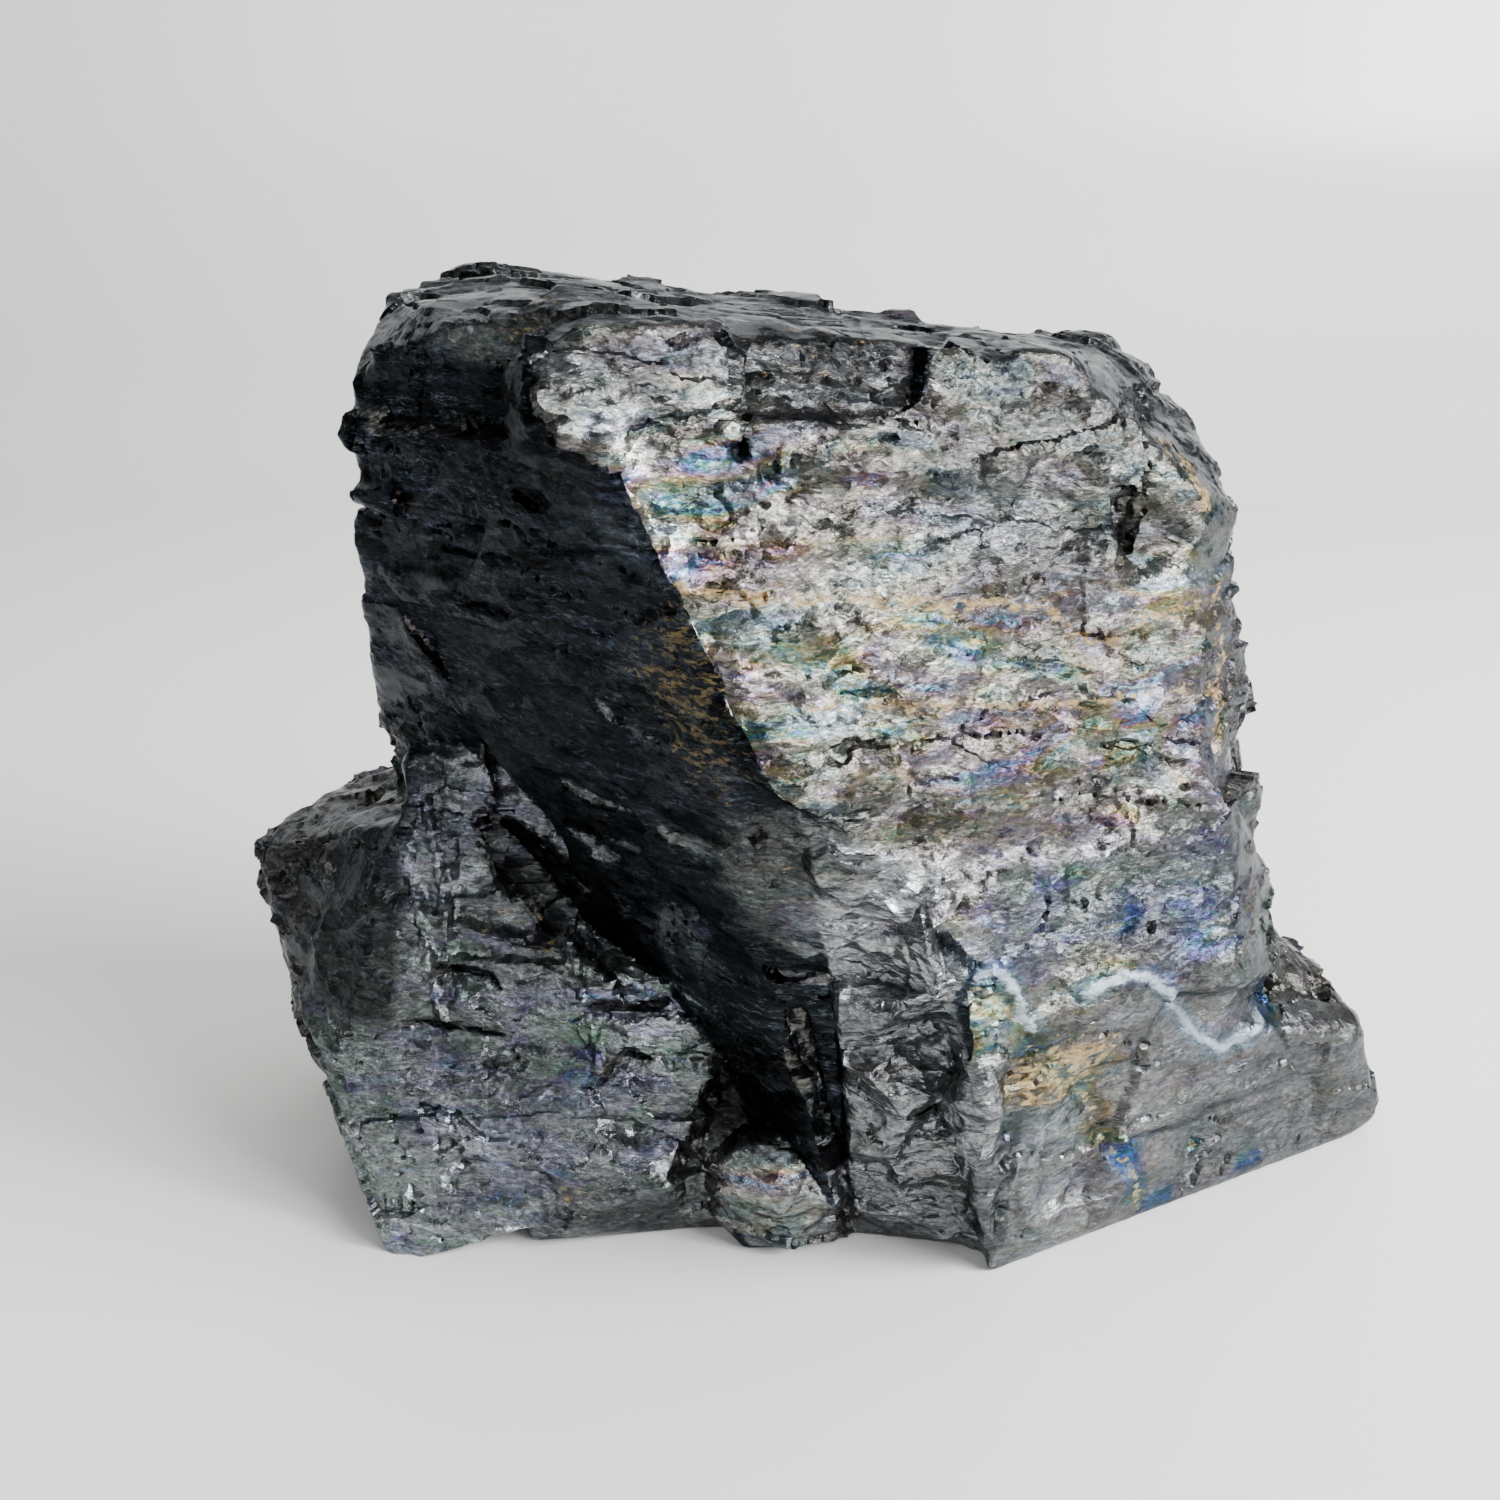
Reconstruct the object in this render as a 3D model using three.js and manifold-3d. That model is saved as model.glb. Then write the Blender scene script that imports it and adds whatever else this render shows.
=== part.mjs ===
// A raw shungite chunk: one broken lump of black, half-metallic carbon rock, as it came out of the ground.
// It is a single stone. A tall upper body leans over a lower block on its left, and a low toe runs out on its
// right. Lengths are millimetres and +Z is up. The bright face and the dark face meet in a ridge at the
// front, towards -Y.
import * as THREE from "three";
import { ConvexGeometry } from "three/addons/geometries/ConvexGeometry.js";
import { MeshSurfaceSampler } from "three/addons/math/MeshSurfaceSampler.js";
import { mergeVertices } from "three/addons/utils/BufferGeometryUtils.js";
import Module from "manifold-3d";

const wasm = await Module();
wasm.setup();

// Driving dimensions.
const TALLEST = 131; // top of the rear edge above the base
const LARGE_FLAKES = { count: 100, length: [26, 70], height: [10, 30], depth: [0.4, 1.5] };
const SMALL_FLAKES = { count: 130, length: [9, 26], height: [4, 11], depth: [0.5, 1.7] };
const FLAKE = {
  sides: [5, 7],
  wander: 0.35, // how far round a corner may stray, as a share of one side
  stretch: [0.75, 1.15], // a corner's distance from the middle, as a share of the flake's reach
  flare: [2, 3], // how much wider it is, along and across the bedding, where it leaves the skin
  middle: 0.25, // depth in the middle, as a share of the greatest
  acrossBedding: 0.75, // share of flakes that are deepest at their upper or lower edge
  dipWander: 35, // degrees
};
const BROAD = { reach: 7, sides: 6, unevenness: 1.2 }; // how flat the skin is wherever a flake comes off
const CLEAR = 5; // how far outside the skin a cut starts
const LOWEST_FACING = -0.6; // skin that looks down more steeply than this keeps its flakes
const BASE_MARGIN = 9; // no flake starts lower than this, so the foot stays flat
const SEED = 4; // of the small breaks
const BEDDING_TILT = 3; // degrees the layers dip to the right
const REACH = 400; // longer than the stone on every side

// Each main face: a point on it, the way it faces in degrees round from the front (+ to the right), and how
// far it tips up.
const FACE = {
  bright: { at: [34.6, -41.4, 41.7], facing: 28, rise: 14 },
  dark: { at: [-31.3, -56.2, 113.4], facing: -42, rise: -16 },
  darkFoot: { at: [-42.9, -25.9, 61.9], facing: -50, rise: -22 },
  silver: { at: [-0.3, -36.5, 0], facing: -10, rise: -14 },
  toeFront: { at: [18.4, -44, 0], facing: 30, rise: -8 },
  blockFront: { at: [-52.2, -41.7, 0], facing: -5, rise: 24 },
  right: { at: [56.5, -3, 84], facing: 78, rise: 7 },
  back: { at: [5, 45, 60], facing: 174, rise: 9 },
};

// ---- Solids ---------------------------------------------------------------------------------------------

function solidOf(geometry) {
  const bare = geometry.clone();
  bare.deleteAttribute("normal");
  bare.deleteAttribute("uv");
  const merged = mergeVertices(bare, 1e-4);
  return new wasm.Manifold(
    new wasm.Mesh({
      numProp: 3,
      vertProperties: merged.attributes.position.array,
      triVerts: new Uint32Array(merged.index.array),
    }),
  );
}

function geometryOf(solid) {
  const { vertProperties, triVerts } = solid.getMesh();
  const geometry = new THREE.BufferGeometry();
  geometry.setAttribute("position", new THREE.BufferAttribute(vertProperties, 3));
  geometry.setIndex(new THREE.BufferAttribute(triVerts, 1));
  return geometry.toNonIndexed();
}

function outward({ facing, rise }) {
  const turn = THREE.MathUtils.degToRad(facing);
  const tip = THREE.MathUtils.degToRad(rise);
  return new THREE.Vector3(Math.sin(turn) * Math.cos(tip), -Math.cos(turn) * Math.cos(tip), Math.sin(tip));
}

// A point on a face: across to the right, up the face, and out of the stone.
function onFace(face, across, up, out = 0) {
  const normal = outward(face);
  const turn = THREE.MathUtils.degToRad(face.facing);
  const right = new THREE.Vector3(Math.cos(turn), Math.sin(turn), 0);
  const upward = new THREE.Vector3().crossVectors(normal, right);
  return new THREE.Vector3(...face.at)
    .addScaledVector(right, across)
    .addScaledVector(upward, up)
    .addScaledVector(normal, out);
}

function hull(points) {
  return solidOf(new ConvexGeometry(points.map((p) => (p.isVector3 ? p : new THREE.Vector3(...p)))));
}

// Everything outside one flat break.
function beyond(face) {
  const out = outward(face);
  const block = new THREE.BoxGeometry(REACH, REACH, REACH);
  block.applyQuaternion(new THREE.Quaternion().setFromUnitVectors(new THREE.Vector3(0, 0, 1), out));
  const centre = new THREE.Vector3(...face.at).addScaledVector(out, REACH / 2);
  block.translate(centre.x, centre.y, centre.z);
  return solidOf(block);
}

function cleave(stone, faces) {
  return faces.reduce((left, face) => left.subtract(beyond(face)), stone);
}

// A piece broken off a face: its outline on the face in mm, how deep it goes, and how much smaller its floor
// is. A corner's third number is its own depth, as a share of the whole.
function scar(face, outline, depth, shrink = 0.8) {
  const middle = [0, 1].map((i) => outline.reduce((sum, corner) => sum + corner[i], 0) / outline.length);
  const rim = outline.map(([a, u]) => onFace(face, a, u, CLEAR));
  const floor = outline.map(([a, u, deeper = 1]) =>
    onFace(face, middle[0] + (a - middle[0]) * shrink, middle[1] + (u - middle[1]) * shrink, -depth * deeper),
  );
  return hull([...rim, ...floor]);
}

// ---- The upper body -------------------------------------------------------------------------------------

const body = cleave(solidOf(new THREE.BoxGeometry(REACH, REACH, REACH)), [
  { at: [0, 0, 0], facing: 0, rise: -90 }, // the flat that it rests on
  FACE.bright,
  FACE.dark,
  FACE.darkFoot,
  FACE.toeFront,
  { at: [-21.7, -47, 125.5], facing: 70, rise: 83 }, // top, falling to the right
  { at: [-34, -30, TALLEST - 2], facing: -50, rise: 78 }, // top, left of its peak
  { at: [-54, -30, 125], facing: -62, rise: 42 }, // left shoulder
  { at: [-66.5, -20, 112], facing: -98, rise: -3 }, // left side
  FACE.right,
  { at: [43, -23, 99], facing: 55, rise: 9 }, // bevel between the bright face and the right side
  { at: [42.6, -3, 112.5], facing: 66, rise: 42 }, // right shoulder
  { at: [35, -3, 119.5], facing: 70, rise: 62 }, // and the slope above it
  FACE.back,
  { at: [-52, 30, 80], facing: -132, rise: 4 }, // back left
  { at: [44, 34, 70], facing: 124, rise: 10 }, // back right
]);

// ---- The lower block on the left ------------------------------------------------------------------------

// Its outer part has a flat bedded top.
const outerBlock = hull([
  [-64.7, -16.2, 54.6], // front top corner
  [-42, -18.1, 54.7],
  [-44, -41, 4],
  [-60, -41, 0],
  [-65.6, -40, 0], // front bottom corner
  [-74.9, -30.3, 21],
  [-95, 8, 44.5], // outer corner
  [-96, 10, 38],
  [-88, 2, 22],
  [-84, 30, 48],
  [-70, 34, 52],
  [-72, 30, 0],
  [-78, 8, 3],
  [-20, 20, 50],
  [-10, 30, 0],
]);

// Its inner part stands a step higher, where it joins the body.
const innerBlock = hull([
  [-64.7, -16.2, 54.6],
  [-63.6, -11.9, 63],
  [-54.5, -11.8, 65],
  [-42, -18.1, 54.7],
  [-18.6, -32, 28.3], // right-hand end of the front
  [-25.9, -39.1, 10.9],
  [-44, -41, 4],
  [-46, -37, 0],
  [-24, -34, 0],
  [-66.8, -2, 62],
  [-66, 18, 58],
  [-62, 16, 0],
  [-20, 20, 50],
  [-10, 30, 0],
]);

// The rock in the bottom of the cleft between the block and the body.
const cleftFloor = hull([
  [-32, -26, 29],
  [-30, -33, 16],
  [-20, -32, 20],
  [-6, -30, 21],
  [-28, -35.5, 5],
  [-20, -34, 0],
  [-30, -34, 0],
  [-2, -22, 22],
  [4, -30, 0],
  [-30, 20, 45],
  [0, 20, 45],
  [-30, 20, 0],
  [0, 20, 0],
]);

// The rounded lobe that stands out at the foot of the cleft.
const lobe = hull([
  [-21.2, -38.5, 7.9],
  [-17, -37, 14.5],
  [-11, -40, 12],
  [-8.2, -37.5, 16],
  [-3.3, -38, 12.5],
  [-1.2, -38.5, 2.6],
  [-3, -37.5, 0],
  [-10, -40, 3],
  [-16, -39, 0],
  [-15, -20, 20],
  [-5, -20, 18],
  [0, -20, 0],
  [-22, -20, 0],
]);

// ---- The toe on the right -------------------------------------------------------------------------------

// Its front is flush with the lower front of the body, and its top falls away to the right.
const toe = hull([
  onFace(FACE.toeFront, 20, 34),
  onFace(FACE.toeFront, 37, 27.5),
  onFace(FACE.toeFront, 52, 25),
  onFace(FACE.toeFront, 65.5, 21),
  onFace(FACE.toeFront, 71, 13.5),
  onFace(FACE.toeFront, 76, 3.5),
  onFace(FACE.toeFront, 71, 0),
  onFace(FACE.toeFront, 10, 0),
  [68, -3, 30.5],
  [72.2, -4, 25.7],
  [78.5, -3, 22],
  [85, 3, 10],
  [84, 2, 0],
  [79, 22, 19],
  [80, 26, 0],
  [50, 40, 26],
  [42, 44, 0],
  [20, 0, 34],
  [20, 0, 0],
]);

// The flare of the body's right side above the toe.
const heel = hull([
  onFace(FACE.bright, 6, 30),
  onFace(FACE.bright, 19.5, 24),
  onFace(FACE.bright, 19, -4),
  onFace(FACE.bright, 6, -4),
  [60.9, -15, 45.9],
  [62.7, -14, 42.5],
  [62.5, -14, 37],
  [66.5, -10, 30],
  [57, 16, 58],
  [66, 16, 40],
  [68, 14, 24],
  [30, 10, 60],
  [30, 10, 20],
]);

// ---- Large breaks ---------------------------------------------------------------------------------------

const RIGHT_OF_RIDGE = -25; // across the bright face, where its layer ends in an upright crack
// The bright layer is broken away below the ridge, which leaves a hollow of silvery steps.
const layerEdge = [
  [-80, 50],
  [-47, 28.5],
  [-36.9, 24.3],
  [-29.6, 14.2],
  [-26, 6],
  [RIGHT_OF_RIDGE, -45],
  [-80, -45],
];
// It is cut straight back, towards +Y, so the end of the layer is a crack and not an open wall.
const hollowDepth = new THREE.Vector3(0, 25, 0);
const silverHollow = cleave(
  hull(
    layerEdge.flatMap(([a, u]) => {
      const edge = onFace(FACE.bright, a, u);
      return [edge.clone().sub(hollowDepth), edge.clone().add(hollowDepth)];
    }),
  ),
  [{ ...FACE.silver, facing: FACE.silver.facing + 180, rise: -FACE.silver.rise }],
);

const scars = [
  // The notch under the upper left corner: a bedded slab is gone, and its floor is deepest against the proud
  // block.
  scar(FACE.dark, [[-54, -3.5, 0.35], [-11.8, -0.6, 1], [-9, 14, 1], [-54, 14, 0.35]], 8, 0.98),
  // Under it the wall is stepped along the bedding.
  scar(FACE.dark, [[-60, -10, 0.3], [-22, -12, 1], [-30, -22, 0.7], [-60, -24, 0.3]], 2.2),
  scar(FACE.dark, [[-24, -16, 0.4], [2, -12, 1.2], [8, -20, 1], [-10, -27, 0.4]], 1.6),
  scar(FACE.dark, [[-56, -26, 1.4], [-16, -28, 0.4], [-8, -40, 0.4], [-48, -40, 1]], 1.8),
  // The browner hollow beside the silver steps.
  scar(FACE.dark, [[7.5, -48], [19, -43], [22, -70, 1.3], [9, -66]], 2.6),
  // The sunk panel at the top of the bright face.
  scar(FACE.bright, [[-47, 90], [-49, 75.5, 0.6], [-29, 74.5, 0.5], [-22, 77, 0.7], [-19, 92]], 3.4, 0.94),
  // The cleft at the left end of the panel.
  scar(FACE.bright, [[-53, 87], [-52, 89], [-51.4, 84], [-51.6, 77], [-52.6, 75, 0.5]], 3.4, 0.6),
  // Pits under the panel.
  scar(FACE.bright, [[-49.4, 74], [-47, 74.4], [-46.8, 70, 0.5], [-48.2, 69, 0.5]], 3, 0.7),
  scar(FACE.bright, [[-46.4, 71], [-42.5, 71.8, 0.3], [-43.5, 66.4, 0.3], [-45.8, 66.6]], 1.9, 0.75),
  // The curved chip near the right side.
  scar(FACE.bright, [[5, 65, 0.7], [9, 64, 0.6], [20, 57.5, 0.1], [10, 52, 0.7], [6, 55, 1.2]], 2.6, 0.92),
  // Upright cracks.
  scar(FACE.bright, [[-30.8, 63.5, 0.4], [-29.6, 63.2, 0.4], [-28.6, 56, 1], [-29.8, 56.2, 1]], 2.6, 0.4),
  scar(FACE.bright, [[-41.2, 69, 0.4], [-40, 69, 0.4], [-39.4, 63, 1], [-40.6, 62.6, 1]], 2.2, 0.4),
  // The lower edge of the bright face steps back to the grey foot.
  scar(FACE.toeFront, [[4, 6, 0.4], [16, 4, 0.8], [24, 30, 1], [10, 33, 0.8], [3, 24, 0.6]], 1.8),
  scar(FACE.toeFront, [[28, 3, 0.4], [66, 2, 0.4], [62, 17, 1], [33, 18, 0.8]], 1.4),
  // The silver hollow breaks in two flights, and a deep notch is let into its right side.
  scar(FACE.silver, [[-8, 41, 1.1], [11.5, 43], [16.4, 26, 0.8], [15.6, -8, 0.4], [0.5, -8, 0.5]], 2.2, 0.98),
  scar(FACE.silver, [[0, 67, 0.3], [7, 66, 1], [9, 51, 1], [-1, 52, 0.3]], 1.8),
  scar(FACE.silver, [[9.6, 52], [11.6, 52.4], [12.4, 45, 0.5], [11.4, 44, 0.5]], 6, 0.5),
  scar(FACE.silver, [[2, 31, 0.7], [12.4, 29, 1.9], [15, 19, 1.7], [4, 17, 0.7]], 2.2),
  // Slabs gone from the back and the right, which no crack on the front tells of.
  scar(FACE.back, [[-60, 22], [-52, 80], [48, 80], [44, 34, 0.7], [6, 25, 0.6], [-20, 31]], 7, 0.96),
  scar(FACE.back, [[-52, -18, 0.6], [-20, 6], [26, -2], [38, -36, 0.4], [-10, -46, 0.4]], 5, 0.8),
  scar(FACE.right, [[-6, 20, 0.3], [24, 26, 0.9], [30, -6, 1], [4, -14, 0.3]], 4, 0.9),
  scar(FACE.right, [[4, -18, 0.4], [32, -12], [40, -34, 0.4], [10, -38, 0.2]], 3.4, 0.85),
  // Between its upright joints the front of the block stands back by different amounts.
  scar(FACE.blockFront, [[-13, 80], [-4, 80, 0.8], [-1, 50, 0.7], [0.4, 33, 0.2], [-5, 31, 0.4]], 1.3, 0.9),
  scar(FACE.blockFront, [[-4, 80], [9, 80, 0.8], [10.6, 42, 0.6], [-1, 44, 0.6]], 2, 0.9),
  scar(FACE.blockFront, [[10.6, 42], [12.4, 42], [16.2, 29, 0.5], [15.2, 29, 0.5]], 1.8, 0.6),
  // Chips on the lower front and the outer corner.
  scar(FACE.blockFront, [[-21, 29, 0.2], [-12, 33, 1], [2, 31.5, 1], [6, 26, 0.4], [-8, 19, 0]], 1.5, 0.9),
  scar(FACE.blockFront, [[-13, 10, 0.1], [-4, 15, 1], [9, 13, 1], [14, 7, 0.3], [2, 1, 0]], 1.6, 0.9),
  scar(FACE.blockFront, [[13, 24, 1], [18, 30, 1], [30, 28, 0.2], [27, 15, 0], [17, 17, 0.6]], 1.8, 0.9),
];

// The block that stands proud of the notch, flush with the bright face.
const proudBlock = hull([
  onFace(FACE.bright, -72.3, 84.3),
  onFace(FACE.bright, -73.5, 75.4),
  onFace(FACE.bright, -64, 71),
  onFace(FACE.bright, -52, 74),
  onFace(FACE.bright, -52, 86),
  onFace(FACE.bright, -71, 84.5, -14),
  onFace(FACE.bright, -71, 75.4, -14),
  onFace(FACE.bright, -52, 74, -14),
  onFace(FACE.bright, -52, 86, -14),
]);

// Thin ends of beds, left standing on the left edge.
const splinters = [
  [[-61, -24, 122], [-64.5, -25, 121.6], [-60, -22, 119], [-56, -12, 121], [-56, -26, 120], [-56, -18, 124]],
  [[-68, -23, 114], [-69, -22, 111], [-66.5, -26, 108], [-62, -14, 108], [-60, -14, 115], [-61, -26, 114]],
  [[-68, -24, 104], [-68, -22, 101.5], [-60, -28, 100], [-62, -14, 100], [-60, -14, 105], [-60, -28, 105]],
];

// The stone as the large breaks left it, and then as it is before the last thin flakes come off.
const upper = body.add(heel).add(toe).subtract(silverHollow);
const rough = [outerBlock, innerBlock, lobe, cleftFloor].reduce((whole, piece) => whole.add(piece), upper);
const scarred = scars.reduce((left, piece) => left.subtract(piece), rough);
let stone = [proudBlock, ...splinters.map(hull)].reduce((whole, piece) => whole.add(piece), scarred);

// ---- Small breaks over the whole skin -------------------------------------------------------------------

// A repeatable source of numbers from 0 to 1.
function randomFrom(seed) {
  let state = seed;
  return () => {
    state = (state + 0x6d2b79f5) | 0;
    let t = Math.imul(state ^ (state >>> 15), 1 | state);
    t = (t + Math.imul(t ^ (t >>> 7), 61 | t)) ^ t;
    return ((t ^ (t >>> 14)) >>> 0) / 4294967296;
  };
}

const random = randomFrom(SEED);
const between = ([low, high]) => low + (high - low) * random();
const spread = (reach) => between([-reach, reach]);
const bedding = outward({ facing: 90, rise: 90 - BEDDING_TILT });

// One flake lost from the skin. Its floor dips under the skin at one side, where it leaves a step, and runs
// out at the other.
function flake(at, out, { length, height, depth }) {
  const along = new THREE.Vector3().crossVectors(bedding, out);
  if (along.length() < 0.3) along.crossVectors(new THREE.Vector3(0, 1, 0), out); // on a bedding plane
  along.normalize();
  const across = new THREE.Vector3().crossVectors(out, along);
  const reach = [between(length) / 2, between(height) / 2];
  const deepest = between(depth);
  const uphill = random() < 0.5 ? 90 : -90;
  const dip = random() < FLAKE.acrossBedding ? uphill + spread(FLAKE.dipWander) : between([0, 360]);
  const dipX = Math.cos(THREE.MathUtils.degToRad(dip));
  const dipY = Math.sin(THREE.MathUtils.degToRad(dip));
  const [fewest, most] = FLAKE.sides;
  const sides = fewest + Math.floor(random() * (most - fewest + 1));
  const points = [];
  for (let i = 0; i < sides; i++) {
    const angle = ((i + spread(FLAKE.wander)) / sides) * 2 * Math.PI;
    const stretch = between(FLAKE.stretch);
    const x = Math.cos(angle) * stretch;
    const y = Math.sin(angle) * stretch;
    const foot = at
      .clone()
      .addScaledVector(along, x * reach[0])
      .addScaledVector(across, y * reach[1]);
    points.push(foot.clone().addScaledVector(out, -deepest * (FLAKE.middle + x * dipX + y * dipY)));
    foot.addScaledVector(out, CLEAR).addScaledVector(along, x * FLAKE.flare[0]);
    points.push(foot.addScaledVector(across, y * FLAKE.flare[1]));
  }
  return hull(points);
}

// Every flake comes off the skin that the large breaks left.
const skin = new THREE.Mesh(geometryOf(scarred));
skin.geometry.computeVertexNormals();
const sampler = new MeshSurfaceSampler(skin).setRandomGenerator(random).build();
const probe = new THREE.Raycaster();
const at = new THREE.Vector3();
const out = new THREE.Vector3();

// Whether the skin lies flat for some way round a point, so a flake there can't cut into a crack or over an
// edge.
function isBroad(at, out) {
  const along = new THREE.Vector3().crossVectors(bedding, out).normalize();
  const across = new THREE.Vector3().crossVectors(out, along);
  const inward = out.clone().negate();
  for (let side = 0; side < BROAD.sides; side++) {
    const angle = (side / BROAD.sides) * 2 * Math.PI;
    const above = at
      .clone()
      .addScaledVector(along, Math.cos(angle) * BROAD.reach)
      .addScaledVector(across, Math.sin(angle) * BROAD.reach)
      .addScaledVector(out, CLEAR);
    probe.set(above, inward);
    const [hit] = probe.intersectObject(skin);
    if (!hit || Math.abs(hit.distance - CLEAR) > BROAD.unevenness) return false;
  }
  return true;
}

for (const kind of [LARGE_FLAKES, SMALL_FLAKES]) {
  for (let made = 0; made < kind.count; ) {
    sampler.sample(at, out);
    if (at.z < BASE_MARGIN || out.z < LOWEST_FACING || !isBroad(at, out)) continue;
    stone = stone.subtract(flake(at, out, kind));
    made++;
  }
}

// ---- The finished stone ---------------------------------------------------------------------------------

// The slab that still stands along the left edge of the dark face, from under its notch down to the block.
const leftSlab = hull([
  [-68, -18.1, 100.5], // down its front edge
  [-69.3, -15.5, 96],
  [-69.9, -10.6, 88],
  [-70.5, -4.6, 80],
  [-71.3, 0.4, 73],
  [-72.3, 6, 66],
  [-72.8, 8.9, 61],
  [-71.5, 11.4, 51], // in the top of the block
  [-65, 5.4, 99],
  [-67.3, 5.4, 92],
  [-67.8, 12.4, 80],
  [-68.5, 17.4, 66],
  [-58.5, 19.4, 97], // under the skin of the left side
  [-57.5, 23.4, 80],
  [-57, 25.4, 58],
  [-53.5, -26.6, 99.5], // under the skin of the dark face
  [-53.5, -21.4, 86],
  [-53.5, -15.6, 73],
  [-53.5, -9.8, 58],
]);

// The crumbs that the flakes cut loose fall away.
const pieces = stone.add(leftSlab).decompose();
const [whole] = pieces.sort((one, other) => other.volume() - one.volume());

const mesh = new THREE.Mesh(
  geometryOf(whole),
  new THREE.MeshStandardMaterial({ color: 0x2b2d31, roughness: 0.4, metalness: 0.5 }),
);
mesh.geometry.computeBoundingBox();
const { min, max } = mesh.geometry.boundingBox;
mesh.geometry.translate(-(min.x + max.x) / 2, -(min.y + max.y) / 2, -min.z); // stands over its own middle
mesh.geometry.computeVertexNormals();
mesh.name = "shungite_chunk";

const group = new THREE.Group();
group.add(mesh);
export default group;
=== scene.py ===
import math

import bmesh
import bpy
import numpy as np
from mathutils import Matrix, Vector


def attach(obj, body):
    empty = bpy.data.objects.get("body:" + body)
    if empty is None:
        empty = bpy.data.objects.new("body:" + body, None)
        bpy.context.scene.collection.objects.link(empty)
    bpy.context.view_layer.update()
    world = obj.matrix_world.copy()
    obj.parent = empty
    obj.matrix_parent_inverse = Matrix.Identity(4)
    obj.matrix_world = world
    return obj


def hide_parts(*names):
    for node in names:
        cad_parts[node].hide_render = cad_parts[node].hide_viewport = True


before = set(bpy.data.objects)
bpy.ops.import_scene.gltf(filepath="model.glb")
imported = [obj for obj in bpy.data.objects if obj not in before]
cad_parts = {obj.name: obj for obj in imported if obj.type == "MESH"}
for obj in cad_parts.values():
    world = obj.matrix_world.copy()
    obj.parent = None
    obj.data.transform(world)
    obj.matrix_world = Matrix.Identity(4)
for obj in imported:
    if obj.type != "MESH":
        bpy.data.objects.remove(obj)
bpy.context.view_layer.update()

# ---- Camera --------------------------------------------------------------------------------------
# A close view from just over the top of the stone, looking a little down at the ridge between its
# front faces. Places are in metres, the sensor and the lens in millimetres, and the tip in degrees.
LENS_AT = (-0.009527, -0.231414, 0.132)
LOOKS_DOWN = 17
SENSOR_WIDTH = 36
FOCAL_LENGTH = 38.4
NEAREST_SEEN = 0.01

camera = bpy.data.objects.new("camera", bpy.data.cameras.new("camera"))
bpy.context.scene.collection.objects.link(camera)
bpy.context.scene.camera = camera
camera.location = LENS_AT
camera.rotation_euler = (math.radians(90 - LOOKS_DOWN), 0, 0)
camera.data.sensor_width = SENSOR_WIDTH
camera.data.lens = FOCAL_LENGTH
camera.data.clip_start = NEAREST_SEEN

# ---- The stone -----------------------------------------------------------------------------------
# One lump of shungite, a black carbon rock with a half-metallic lustre, broken from its bed and never
# cut. It flakes along the bedding, breaks in curved chips across it, and has fine cracks. A film of
# oxide has tarnished the faces that water reached, and iron has left ochre veins along the bedding.

VOXEL = 0.0006
WELD = 1e-6
STEPS_EVENED = 4
NORMALS_EVENED = 5
GRAIN_DEPTH = 0.00018
MILLIMETRE = 0.001
TRIANGLES = 192000
CREASE = math.radians(35)
BEDDING_TILT = math.radians(3)

# Where the faces lie: a point on each in millimetres, how far round from the front it faces in degrees,
# and how far it tips up.
BRIGHT = ((40.07, -40.81, 41.7), 28, 14)
DARK = ((-25.83, -55.61, 113.4), -42, -16)
SILVER = ((5.17, -35.91, 0.0), -10, -14)
FOOT = ((23.87, -43.41, 0.0), 30, -8)
BLOCK = ((-46.73, -41.11, 0.0), -5, 24)


def outward(face):
    """The way that a face looks."""
    _, facing, tips_up = face
    turn, tip = math.radians(facing), math.radians(tips_up)
    return np.array([math.sin(turn) * math.cos(tip), -math.cos(turn) * math.cos(tip), math.sin(tip)])


def on_face(points, face):
    """How far each point lies across a face, up it and out of it, in millimetres."""
    out = outward(face)
    right = np.array([math.cos(math.radians(face[1])), math.sin(math.radians(face[1])), 0.0])
    offset = points - np.array(face[0])
    return offset @ right, offset @ np.cross(out, right), offset @ out


def ramp(value, low, high):
    """0 below low and 1 above high, with a straight slope between."""
    return np.clip((value - low) / (high - low), 0, 1)


def patch(place, across, up, half_width, half_height):
    """A rounded patch on a face, no deeper than 12 mm: 1 over its middle and 0 past twice its size."""
    reach = np.hypot((place[0] - across) / half_width, (place[1] - up) / half_height)
    return np.clip(1.6 - 0.8 * reach, 0, 1) * ramp(place[2], -16, -12)


def distance_to_line(place, corners):
    """How far each point of a face is from a line drawn on it, in millimetres."""
    at = np.stack(place[:2], axis=1)
    nearest = np.full(len(at), np.inf)
    for start, end in zip(corners[:-1], corners[1:]):
        start, step = np.array(start), np.array(end) - np.array(start)
        share = np.clip((at - start) @ step / (step @ step), 0, 1)
        nearest = np.minimum(nearest, np.linalg.norm(at - start - share[:, None] * step, axis=1))
    return nearest


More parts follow.
